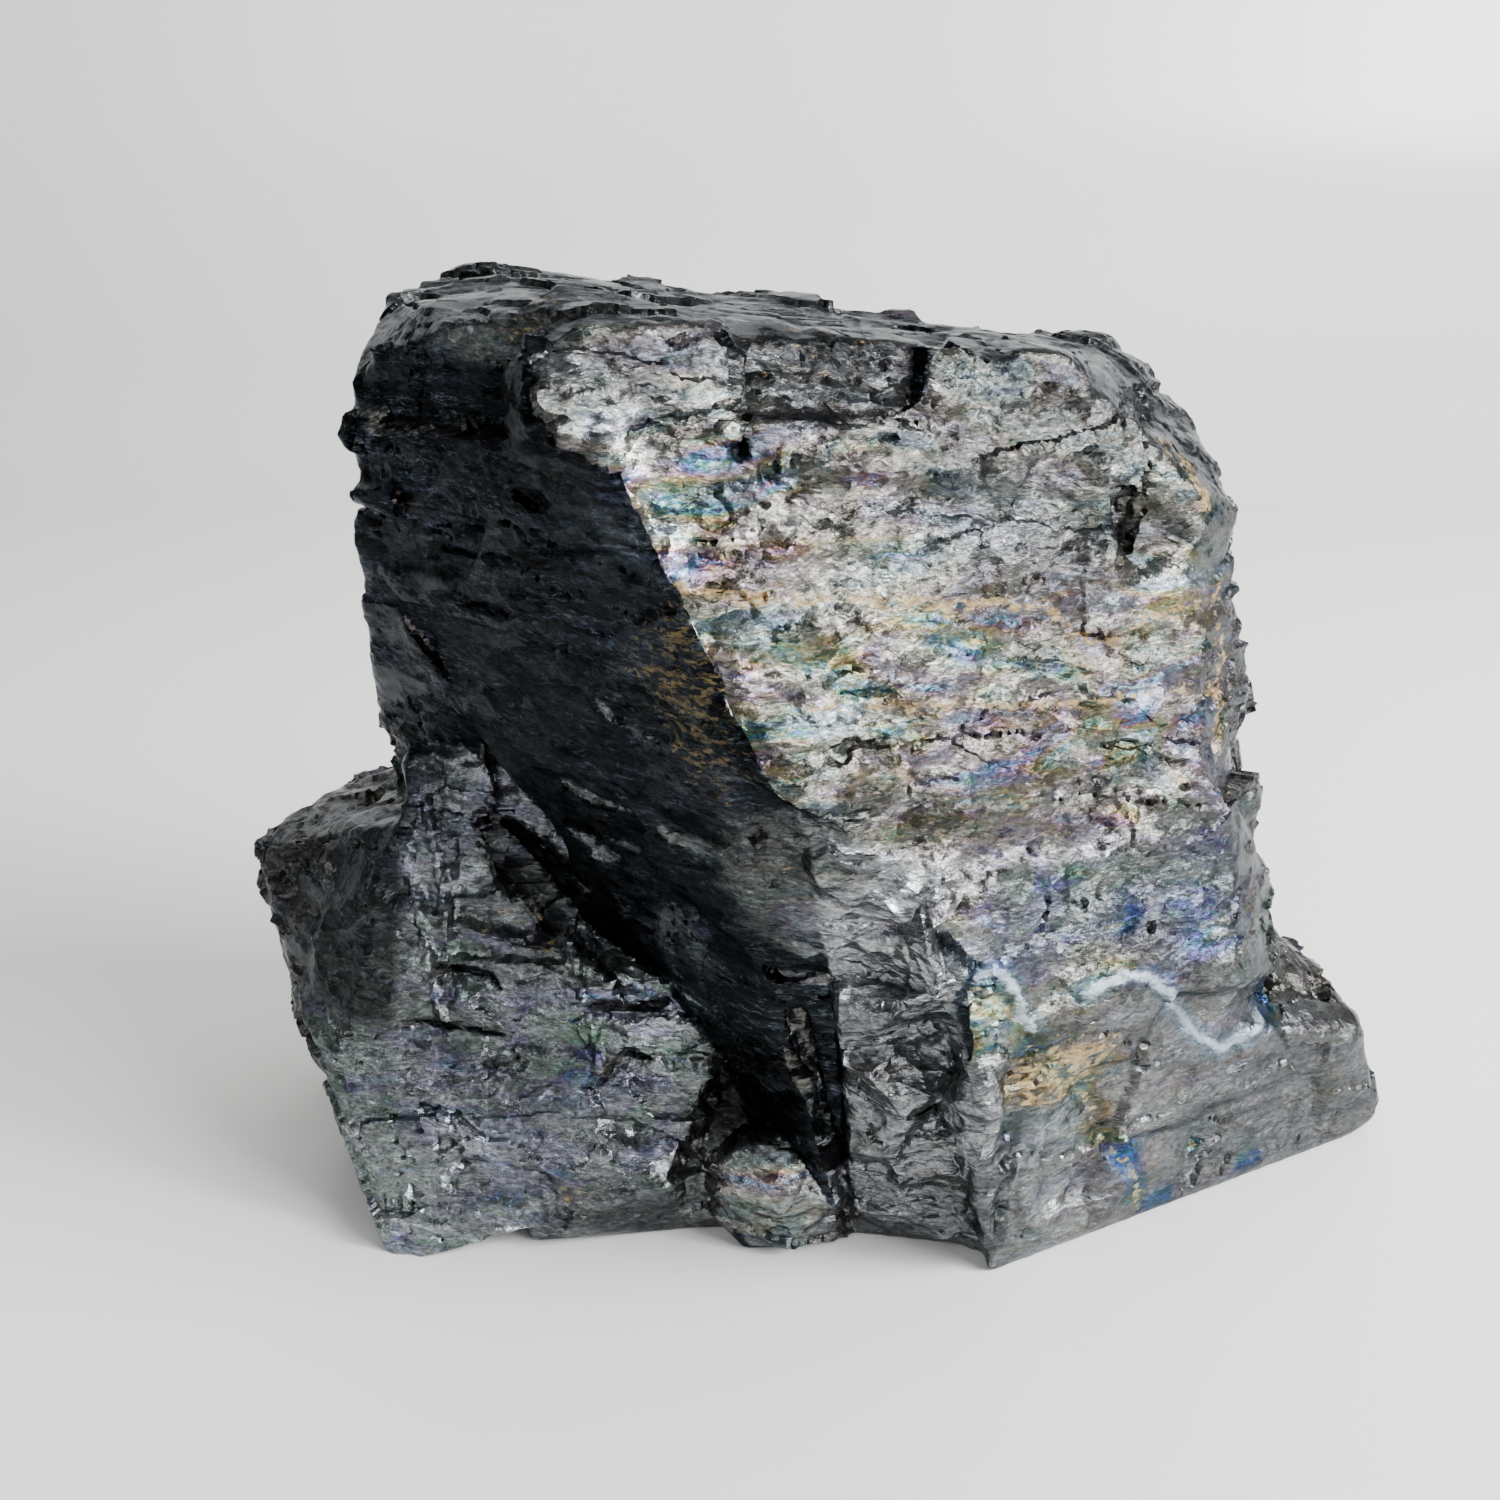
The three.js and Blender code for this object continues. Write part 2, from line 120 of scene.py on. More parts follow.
# The veins, the mineral seam, the stained groove below it and the ribs, as lines across and up the face
# that they cross. No mark on the skin is stored past the limit.
MARK_LIMIT = 1.5
UPPER_VEIN = (
    (-58, 57), (-48, 55), (-35, 53.6), (-22, 51.8), (-7, 50.3), (-1, 45.3), (4, 44.8), (11, 47.3),
    (26, 49.3),
)
LOWER_VEIN = ((-42, 41.5), (-36, 40.7), (-25, 39.9), (-16, 38.8), (-4, 37.2), (10, 37.5), (24, 35.9))
SEAM_LEFT = ((-8.1, 47), (-6.2, 47.3), (-4.2, 46.9), (-2.1, 44.3), (-2.1, 41.6), (-0.3, 39.4))
SEAM_RIGHT = (
    (8, 42.4), (14.8, 43.3), (19.1, 42.1), (21.5, 40.2), (27, 34), (31.2, 29.3), (36.2, 25.9),
    (45.1, 27.9),
)
RIVER = (
    (-8.5, 45.7), (-4.2, 43.2), (-2, 39.4), (3.5, 32.3), (10.1, 27.1), (14.5, 21.4), (16.9, 16.3),
    (23.5, 8.2), (25.9, 1.8),
)
OUTER_RIB = ((-13.9, 56.4), (-12.3, 49.4), (-10.4, 43.8), (-8.6, 36), (-6.5, 31))
INNER_RIB = ((-11.7, 63.7), (-9.7, 56.6), (-8.5, 49.5), (-6.8, 42.5), (-4.8, 36))
RIGHT_RIB = ((9.1, 45.9), (11.6, 41.7), (12.9, 36.2), (14.3, 32.1), (15.5, 27))


def mark_skin(mesh):
    """Stores on the mesh how each part of the skin broke and weathered, and where light and shade are
    painted.

    All but one are shares, mostly from 0 to 1. The one named raised is in millimetres.
    """
    points = np.empty(len(mesh.vertices) * 3, np.float32)
    mesh.vertices.foreach_get("co", points)
    points = points.reshape(-1, 3).astype(float) * 1000
    normals = np.empty(len(mesh.vertices) * 3, np.float32)
    mesh.vertex_normals.foreach_get("vector", normals)
    normals = normals.reshape(-1, 3).astype(float)
    x, y, z = points.T
    faces = (BRIGHT, DARK, SILVER, FOOT, BLOCK)
    bright, dark, silver, foot, block = (on_face(points, face) for face in faces)
    looks_bright, looks_dark = normals @ outward(BRIGHT), normals @ outward(DARK)

    # Which face a point belongs to.
    left_end = np.interp(z, (8, 42, 66), (-1.2, -2.6, -6.2))
    is_silver = (
        ramp(silver[0] - left_end, 0, 1.5) * ramp(-silver[0], -20, -17) * ramp(silver[2], -11, -8)
        * ramp(-silver[1], -73, -71) * ramp(-bright[2], 0.6, 1.8)
    )
    is_foot = ramp(foot[2], -6, -4) * ramp(-z, -42, -36) * ramp(foot[0], -1, 1) * (1 - is_silver)
    is_block = ramp(block[2], -10, -7) * ramp(-z, -72, -66) * ramp(-x, 14, 18)
    is_block = is_block * np.maximum(ramp(normals[:, 2], -0.05, 0.15), ramp(-z, -22, -16))
    is_block = is_block * ramp(-normals[:, 0], -0.9, -0.4)
    wavy = 5 * np.sin(z / 8) + 2.5 * np.sin(z / 2.9 + 1)
    is_dark = ramp(looks_dark - looks_bright, -0.05, 0.15) * ramp(-x, -28, -20)
    is_dark = is_dark * ramp(-y + wavy + 0.7 * np.maximum(90 - z, 0), -14, 14)
    is_dark = is_dark * np.maximum(ramp(x, -64, -60), ramp(z, 63, 67))
    is_dark = is_dark * (1 - is_silver) * (1 - is_block) * np.maximum(ramp(z, 18, 26), ramp(x, -14, -10))
    is_bright = ramp(bright[2], -8, -5) * (1 - is_silver) * (1 - is_foot) * (1 - is_dark)
    is_bright = is_bright * ramp(x, -64, -60) * ramp(looks_bright, 0.2, 0.5)
    ridge = ramp(bright[2], -3.5, -1) * ramp(dark[2], -3.5, -1) * ramp(z, 60, 66)
    is_lobe = patch(block, 40.4, 8.9, 7, 6) * ramp(-y, 31, 34) * (1 - is_silver)
    outer_facet = is_block * ramp(-block[0], 13, 15) * ramp(z, 26, 30)

    # How brightly it shines, with painted light and shade: less in murky patches, more in pale ones.
    # Painted shade: the sunk panel, the slot and the foot of the block are darkened as if in shade.
    murk_and_painted_shade = np.maximum.reduce([
        patch(bright, -36, 82.5, 13, 5.5) * 0.9,
        patch(bright, -57, 79, 8, 5) * 0.45,
        is_block * ramp(-z, -14, -6) * ramp(block[0], 2, 10) * 0.74,
        patch(block, 6, 50, 15, 8) * 0.4 * is_block,
        patch(bright, -64, 81, 8, 5) * 0.7,
        patch(bright, 7.3, 60, 1.7, 3.2) * 0.8,
        patch(bright, -20, 71, 12, 2.5) * 0.4,
        patch(bright, 12.5, 58, 3.6, 3) * 0.5,
        patch(bright, 3, 62, 9, 4) * 0.35,
        patch(bright, -3, 73, 28, 7) * 0.42,
        patch(bright, -64, 87, 14, 5) * 0.42,
        patch(bright, -4, 59, 14, 5) * 0.36,
        patch(bright, -28, 60, 12, 5) * 0.2,
        patch(bright, -35, 24, 7, 7) * 0.22,
        patch(bright, -4, 15, 24, 10) * 0.14,
        patch(bright, 9, 14, 7, 7) * 0.25,
        patch(foot, 52, 12, 12, 8) * 0.22,
        patch(silver, 2, 6, 12, 6) * 0.3,
        patch(block, 8.5, 54, 7, 7) * 0.5,
        patch(block, 36, 21, 7, 3) * 0.8,
    ])
    rib = np.minimum.reduce([distance_to_line(block, line) for line in (OUTER_RIB, INNER_RIB, RIGHT_RIB)])
    river = distance_to_line(foot, RIVER)
    by_foot = ramp(foot[2], -9, -7) * ramp(-z, -52, -48) * (1 - is_silver)
    fan = patch(block, 22, 36.6, 7, 9.6) * is_block
    # Painted highlights among these: glints along the ridge, the white cap and a strip that faces the
    # light.
    pale = np.maximum.reduce([
        ramp(-rib, -1.0, -0.4) * 1.3 * is_block,
        patch(block, -3, 8, 14, 5) * 0.6 * is_block,
        patch(foot, -8, 42, 4, 5) * 1.0 * by_foot,
        patch(foot, 19, 16, 7, 6) * 0.3,
        patch(bright, -29, 10, 5, 6) * 0.6 * (1 - is_silver),
        patch(silver, 5, 26, 9, 13) * 0.25,
        patch(foot, 6.5, 14, 6, 10) * 0.55 * is_foot,
        fan * 0.7,
        patch(bright, -62.5, 66.5, 2.0, 7) * 2.0,
        patch(bright, -58, 58, 1.8, 5) * 1.5,
        patch(bright, -49.4, 73.9, 1.3, 1.0) * 2.4,
        patch(bright, -50.1, 81, 1.6, 6) * 0.3,
        patch(bright, 16, 50.5, 6, 3) * 0.8,
        patch(bright, -45, 50, 10, 10) * 0.3,
        patch(block, -5.2, 52.4, 2.3, 1.7) * 1.6,
        patch(silver, 2.5, 52, 6, 8) * 1.5 * ramp(silver[1], 44, 45.5),
    ])
    # Tops are darkened as painted shade, and the back is lightened as painted light.
    top = ramp(normals[:, 2], 0.5, 0.8) * ramp(z, 90, 100)
    behind = ramp(y, 8, 26)
    lustre_and_painted_light = (
        0.055 + 0.03 * behind + is_bright * 0.027 + is_silver * 0.09 + is_foot * 0.03 + is_block * 0.14
        + is_lobe * 0.24
    )
    lustre_and_painted_light = lustre_and_painted_light * (1 - 0.78 * outer_facet) * (1 - murk_and_painted_shade) * (1 - 0.7 * top)
    # A painted highlight runs along the bright side of the ridge.
    lustre_and_painted_light = lustre_and_painted_light + pale * 0.12 + ridge * is_bright * 0.05
    satin = is_foot + is_silver + outer_facet * 0.7 + is_block * 0.3 + is_lobe * 0.3 + fan * 0.4
    satin = np.clip(satin, 0, 1)

    # How much of the film of tarnish it carries, and where that runs in blues or in golds.
    puddles = np.maximum.reduce([
        patch(foot, across, up, size, size)
        for across, up, size in (
            (20.7, 13.1, 2.3), (22.9, 6.6, 2.0), (29.7, 2, 2.4), (35.3, 9.7, 1.5), (46.6, 4.6, 2.4),
            (48.5, 28.9, 2.2),
        )
    ]) * 1.3
    film = np.maximum.reduce([
        is_bright * 0.86,
        patch(bright, 1, 8.4, 3.2, 2.0) * 1.3,
        patch(bright, -6.8, 12.5, 14, 6.5) * 1.1,
        patch(bright, 11, 8, 7, 9) * 1.1,
        patch(bright, -53.9, 66.7, 6, 5) * 1.1,
        patch(bright, 3, 75.6, 8, 6) * 0.9,
        patch(bright, 0.5, 72, 11, 7) * 0.95,
        ramp(-river, -4.5, -1.5) * by_foot * 1.2,
        patch(foot, 6, 31, 9, 5) * 1.0,
        puddles,
        patch(block, -9.9, 46.6, 2.3, 2.0) * 1.2,
        patch(block, 12.5, 30, 4.2, 5.5) * 1.0,
        is_block * 0.72, is_foot * 0.28, is_lobe * 0.8, is_dark * 0.6,
        (0.5 + 0.25 * behind) * (1 - is_foot) * (1 - top),
    ])
    film = film * (1 - is_silver) * (1 - murk_and_painted_shade)
    blue = np.maximum.reduce([
        patch(bright, 1, 8.4, 3.6, 2.4), patch(bright, -6.8, 12.5, 12, 5) * 0.7,
        patch(bright, 13, 9, 7, 8) * 0.8, patch(bright, -18.5, 7, 8, 3) * 0.7,
        is_block * 0.6, is_dark * 0.4, puddles, patch(bright, -13, 61.5, 8, 4) * 0.5,
    ])
    gold = np.maximum.reduce([
        patch(bright, -4, 6.5, 17, 2.4), patch(bright, 12, 2, 3.5, 4), patch(foot, 6, 31, 10, 5) * 0.9,
        ramp(-river, -4, -2) * 0.6 * by_foot * (1 - puddles), patch(dark, 4, -31, 9, 13) * is_dark,
        patch(bright, -8, 55, 26, 6) * 0.5,
    ]) * (1 - 0.8 * blue)

    # Ochre along the veins, in spots down the right edge, and in patches by the seam and the cleft. The
    # upper vein is a thin bed, which crops out fainter on the other sides.
    level = z + x * math.tan(BEDDING_TILT) + 1.5 * np.sin(x / 7 + y / 9)
    outcrop = ramp(-np.abs(level - 92), -2.5, 0) * (1 - is_bright) * (1 - is_dark)
    vein = np.minimum(distance_to_line(bright, UPPER_VEIN), distance_to_line(bright, LOWER_VEIN) * 1.4)
    ochre = np.maximum.reduce([
        ramp(-vein, -2.4, 0) * 0.84 * is_bright,
        ramp(-vein, -7, 0) * 0.42 * is_bright,
        outcrop * 0.8,
        patch(bright, 21.5, 64.3, 2.4, 5.5) * 0.7,
        patch(bright, 16.9, 69.8, 3.5, 2.2) * 0.6,
        patch(bright, 23.5, 38, 2.0, 8) * 0.68,
        patch(foot, 5.5, 31.5, 8.5, 4.5) * 0.74 * (1 - is_silver),
        ramp(-river, -1.7, -0.2) * 0.72 * by_foot,
        patch(dark, 4, -31, 8, 12) * 0.63 * is_dark,
        patch(dark, -18.7, 10.5, 4.5, 2.1) * 0.55,
        patch(dark, 11.7, -57.6, 5, 8) * 0.4 * is_dark,
        patch(block, 10.7, 9.5, 4, 2) * 0.6,
        patch(block, 3.1, 45.6, 5.7, 4) * 0.5,
        patch(bright, -36, 82.5, 11, 5) * 0.38,
    ])
    seam = np.minimum(distance_to_line(foot, SEAM_LEFT), distance_to_line(foot, SEAM_RIGHT))
    seam = np.maximum(ramp(-seam, -2.8, 0), ramp(-river, -3.6, -0.6) * 0.5) * by_foot

    # Forms that stand out of the faces or lie sunk in them, in millimetres: the ribs with a sunk panel
    # between them, a chip that stands proud, the seam, a slot, the stained groove, and a plate by it.
    panel = ramp(block[0], -7.5, -6.9) * ramp(-block[0], -10, -9.4)
    panel = panel * ramp(block[1], 41, 41.8) * ramp(-block[1], -60, -57)
    raised = (
        0.9 * ramp(-rib, -0.9, -0.3) * is_block - 1.3 * panel * is_block
        + 1.3 * ramp(patch(bright, -49.4, 73.9, 1.3, 1.0), 0.4, 0.7)
        + 0.2 * ramp(seam, 0.7, 0.95)
        - 1.2 * ramp(patch(bright, 8.4, 60, 1.1, 3.2), 0.5, 0.7)
        - 0.4 * ramp(-river, -1.4, -0.6) * by_foot
        + 0.35 * ramp(patch(foot, 6.5, 14, 5, 9), 0.75, 0.8)
    )

    # How clean it broke, how far in curved chips, and how much painted shade darkens the overhanging
    # face.
    calm = is_bright * 0.75 + is_foot * 0.85 + is_silver * 0.9 + is_dark * 0.9
    calm = calm + is_block * (0.5 + 0.3 * outer_facet)
    calm = np.maximum(calm * (1 - 0.75 * ridge), top * 0.4)
    scooped = is_silver + is_foot * 0.2 + is_lobe * 0.4 + outer_facet * 0.4 + fan * 0.7
    painted_shade = is_dark
    for across, up, half_width, half_height, lighter in (
        (11.7, -57.6, 6, 8, 0.7),
        (-18.7, 10.5, 9, 4, 0.8),
        (0, -40, 9, 16, 0.46),
        (-29, 8, 12, 3, 0.4),
        (-9, -73, 6, 8, 0.5),
    ):
        painted_shade = painted_shade * (1 - lighter * patch(dark, across, up, half_width, half_height))

    for name, value in (
        ("lustre_and_painted_light", lustre_and_painted_light), ("film", film), ("blue", blue), ("ochre", ochre), ("seam", seam),
        ("gold", gold), ("raised", raised), ("calm", calm), ("scooped", scooped), ("painted_shade", painted_shade),
        ("satin", satin),
    ):
        layer = mesh.attributes.new(name, "FLOAT", "POINT")
        layer.data.foreach_set("value", np.clip(value, -MARK_LIMIT, MARK_LIMIT).astype(np.float32))


def add_node(tree, kind, inputs=None, **settings):
    """A node with its settings and inputs, where an input is a plain value or another node's output."""
    made = tree.nodes.new(kind)
    for name, value in settings.items():
        setattr(made, name, value)
    for socket, value in (inputs or {}).items():
        if isinstance(value, bpy.types.NodeSocket):
            tree.links.new(value, made.inputs[socket])
        else:
            made.inputs[socket].default_value = value
    return made


def maths(tree, operation, *values):
    return add_node(tree, "ShaderNodeMath", dict(enumerate(values)), operation=operation).outputs[0]


def vectors(tree, operation, *values):
    made = add_node(tree, "ShaderNodeVectorMath", dict(enumerate(values)), operation=operation)
    return made.outputs["Value" if operation in ("DOT_PRODUCT", "LENGTH", "DISTANCE") else "Vector"]


def scaled(tree, vector, factor):
    made = add_node(tree, "ShaderNodeVectorMath", {0: vector}, operation="SCALE")
    if isinstance(factor, bpy.types.NodeSocket):
        tree.links.new(factor, made.inputs["Scale"])
    else:
        made.inputs["Scale"].default_value = factor
    return made.outputs[0]


def rise(tree, value, low, high, least=0.0, most=1.0):
    """Smoothly from least, below low, to most, above high."""
    return add_node(
        tree,
        "ShaderNodeMapRange",
        {"Value": value, "From Min": low, "From Max": high, "To Min": least, "To Max": most},
        interpolation_type="SMOOTHSTEP",
    ).outputs["Result"]


def cloud(tree, place, lump, detail=3.0, roughness=0.55, colour=False, twist=0.0):
    """Noise whose lumps have the given size along X, Y and Z."""
    made = add_node(
        tree,
        "ShaderNodeTexNoise",
        {
            "Vector": vectors(tree, "DIVIDE", place, lump), "Scale": 1.0, "Detail": detail,
            "Roughness": roughness, "Distortion": twist,
        },
    )
    return made.outputs["Color" if colour else "Fac"]


def centred(tree, colour):
    """A random colour as a direction, each part of it from -0.5 to 0.5."""
    return vectors(tree, "SUBTRACT", colour, (0.5, 0.5, 0.5))


def cells(tree, place, size, feature="F1"):
    """Random cells of the given size along X, Y and Z."""
    spread = {"Vector": vectors(tree, "DIVIDE", place, size), "Scale": 1.0}
    return add_node(tree, "ShaderNodeTexVoronoi", spread, feature=feature).outputs


def shell(tree, from_middle, ripples, ripple_height):
    """A curved chip with a fan of fine ripples round its middle, as glass breaks."""
    wave = maths(tree, "SINE", maths(tree, "MULTIPLY", from_middle, ripples))
    wave = maths(tree, "MULTIPLY", wave, ripple_height)
    return maths(tree, "ADD", maths(tree, "MULTIPLY", from_middle, from_middle), wave)


def along_bedding(tree, place):
    """The place turned with the beds, which dip a little to the right."""
    turned = {"Vector": place, "Angle": -BEDDING_TILT}
    return add_node(tree, "ShaderNodeVectorRotate", turned, rotation_type="Y_AXIS").outputs[0]


def fracture_relief():
    """Geometry Nodes that push the skin in and out as the rock breaks, less where a face broke clean."""
    tree = bpy.data.node_groups.new("fracture relief", "GeometryNodeTree")
    sockets = (
        ("Geometry", "NodeSocketGeometry", None),
        ("Chip Length", "NodeSocketFloat", 0.022),
        ("Chip Depth", "NodeSocketFloat", 0.0028),
        ("Bed Depth", "NodeSocketFloat", 0.0040),
        ("Scoop Depth", "NodeSocketFloat", 0.0070),
        ("Crack Depth", "NodeSocketFloat", 0.0007),
        ("Corner Reach", "NodeSocketInt", 180),
        ("Seed", "NodeSocketFloat", 3.0),
        ("Finish", "NodeSocketMaterial", None),
    )
    for name, kind, value in sockets:
        made = tree.interface.new_socket(name, in_out="INPUT", socket_type=kind)
        if value is not None:
            made.default_value = value
    tree.interface.new_socket("Geometry", in_out="OUTPUT", socket_type="NodeSocketGeometry")
    given = tree.nodes.new("NodeGroupInput").outputs

    def share(name):
        read = add_node(tree, "GeometryNodeInputNamedAttribute", {"Name": name}, data_type="FLOAT")
        return read.outputs[0]

    def evened(value, times):
        """The value averaged with its neighbours, so that the small steps of the mesh don't show."""
        blurred = {"Value": value, "Iterations": times}
        return add_node(tree, "GeometryNodeBlurAttribute", blurred, data_type="FLOAT_VECTOR").outputs[0]

    place = evened(tree.nodes.new("GeometryNodeInputPosition").outputs[0], STEPS_EVENED)
    normal = evened(tree.nodes.new("GeometryNodeInputNormal").outputs[0], NORMALS_EVENED)
    normal = vectors(tree, "NORMALIZE", normal)
    shift = add_node(tree, "ShaderNodeCombineXYZ", {"X": given["Seed"]}).outputs[0]
    bedded = vectors(tree, "ADD", along_bedding(tree, place), shift)
    wander = centred(tree, cloud(tree, bedded, (0.02, 0.02, 0.012), colour=True))
    bent = vectors(tree, "ADD", bedded, scaled(tree, wander, 0.008))

    def chips(share_of_length):
        """Flat chips at odd angles, longer along the bedding than across it, from -0.5 to 0.5."""
        size = maths(tree, "MULTIPLY", given["Chip Length"], share_of_length)
        thin = maths(tree, "MULTIPLY", size, 0.45)
        cell = add_node(tree, "ShaderNodeCombineXYZ", {"X": size, "Y": size, "Z": thin}).outputs[0]
        chip = cells(tree, bent, cell)
        within = vectors(tree, "SUBTRACT", vectors(tree, "DIVIDE", bent, cell), chip["Position"])
        slope = vectors(tree, "DOT_PRODUCT", centred(tree, chip["Color"]), within)
        return maths(tree, "MULTIPLY", slope, 1.6)

    chipped = maths(tree, "ADD", chips(1.0), maths(tree, "MULTIPLY", chips(0.36), 0.3))

    # Thin beds end in low steps. Each is a contour of a noise that is stretched along the bedding.
    beds = -0.5
    for lump, step, height in (((0.050, 0.050, 0.011), 0.10, 0.8), ((0.016, 0.016, 0.004), 0.16, 0.16)):
        layers = cloud(tree, bent, lump, detail=1.0, roughness=0.4)
        steps = maths(tree, "SNAP", layers, step)
        beds = maths(tree, "ADD", beds, maths(tree, "MULTIPLY", steps, height))

    scoops = shell(tree, cells(tree, bent, (0.014, 0.014, 0.011))["Distance"], 42.0, 0.014)

    # Cracks wander along the bedding, with a few across it. Each opens only in places.
    cracks = 0.0
    for lump, opening in (
        ((0.05, 0.05, 0.010), (0.03, 0.03, 0.02)),
        ((0.012, 0.012, 0.05), (0.02, 0.02, 0.03)),
    ):
        line = maths(tree, "SUBTRACT", cloud(tree, bent, lump, detail=3.0), 0.5)
        line = rise(tree, maths(tree, "ABSOLUTE", line), 0.009, 0.0)
        line = maths(tree, "MULTIPLY", line, rise(tree, cloud(tree, bedded, opening), 0.52, 0.62))
        cracks = maths(tree, "MAXIMUM", cracks, line)

    grain = cloud(tree, bent, (0.004, 0.004, 0.0016), detail=2.0, roughness=0.5)
    grain = maths(tree, "SUBTRACT", grain, 0.5)

    # Corners have broken off here and there, further behind than in front: what stands out of the skin
    # around it is knocked back.
    skin_around = evened(tree.nodes.new("GeometryNodeInputPosition").outputs[0], given["Corner Reach"])
    corner = vectors(tree, "DOT_PRODUCT", vectors(tree, "SUBTRACT", place, skin_around), normal)
    broken = rise(tree, cloud(tree, bent, (0.011, 0.011, 0.006), detail=2.0), 0.42, 0.6, 0.0, -1.3)
    corner = maths(tree, "MULTIPLY", maths(tree, "MAXIMUM", corner, 0.0), broken)
    parts_of_place = add_node(tree, "ShaderNodeSeparateXYZ", {"Vector": place}).outputs
    towards_back = rise(tree, parts_of_place["Y"], 0.0, 0.03, 0.4, 1.1)
    corner = maths(tree, "MULTIPLY", corner, towards_back)

    # All of it together, in metres. The skin stays where it is down at the flat that the stone stands on.
    rough = maths(tree, "SUBTRACT", 1.0, share("calm"))
    bedded_share = maths(tree, "MULTIPLY", maths(tree, "SUBTRACT", 1.0, share("scooped")), rough)
    height = maths(tree, "MULTIPLY", maths(tree, "MULTIPLY", chipped, given["Chip Depth"]), rough)
    for part, depth, weight in (
        (beds, given["Bed Depth"], bedded_share),
        (scoops, given["Scoop Depth"], share("scooped")),
        (grain, GRAIN_DEPTH, 1.0),
        (share("raised"), MILLIMETRE, 1.0),
        (corner, 1.0, maths(tree, "MULTIPLY_ADD", rough, 0.65, 0.35)),
        (cracks, maths(tree, "MULTIPLY", given["Crack Depth"], -1.0), 1.0),
    ):
        pushed = maths(tree, "MULTIPLY", maths(tree, "MULTIPLY", part, depth), weight)
        height = maths(tree, "ADD", height, pushed)
    height = maths(tree, "MULTIPLY", height, rise(tree, parts_of_place["Z"], 0.0002, 0.003))

    moved = add_node(
        tree, "GeometryNodeSetPosition",
        {"Geometry": given["Geometry"], "Position": place, "Offset": scaled(tree, normal, height)},
    )
    realized = add_node(tree, "GeometryNodeRealizeInstances", {"Geometry": moved.outputs[0]})
    finished = add_node(
        tree, "GeometryNodeSetMaterial", {"Geometry": realized.outputs[0], "Material": given["Finish"]}
    )
    add_node(tree, "NodeGroupOutput", {"Geometry": finished.outputs[0]})
    return tree


# The colours of the finish: the gloss seen at a low angle, the rock's own tint and the bluer tint it
# takes under painted shade, the ochre from deep to pale and how painted shade dims it, the seam and its
# rim, and the runs of colour that the film goes through as it thickens.
GLANCE = (0.68, 0.71, 0.74, 1)
ROCK_TINT = (0.95, 0.99, 1.03, 1)
SHADED_TINT = (0.82, 0.98, 1.22, 1)
DEEP_OCHRE = (0.14, 0.075, 0.02, 1)
PALE_OCHRE = (0.42, 0.30, 0.12, 1)
SHADED_OCHRE = (0.36, 0.37, 0.27, 1)
SEAM_RIM = (0.75, 1.15, 1.5, 1)
SEAM_WHITE = (0.40, 0.46, 0.53, 1)
FULL_RUN = (
    (0.80, 0.56, 0.20), (0.74, 0.36, 0.34), (0.48, 0.30, 0.66), (0.16, 0.34, 0.80),
    (0.10, 0.52, 0.66), (0.28, 0.62, 0.36), (0.66, 0.62, 0.22),
)
BLUE_RUN = (
    (0.10, 0.40, 0.66), (0.06, 0.14, 0.82), (0.10, 0.48, 0.66), (0.62, 0.50, 0.18), (0.12, 0.50, 0.52),
)
GOLD_RUN = ((0.80, 0.56, 0.20), (0.56, 0.38, 0.18), (0.30, 0.52, 0.54), (0.70, 0.60, 0.28))


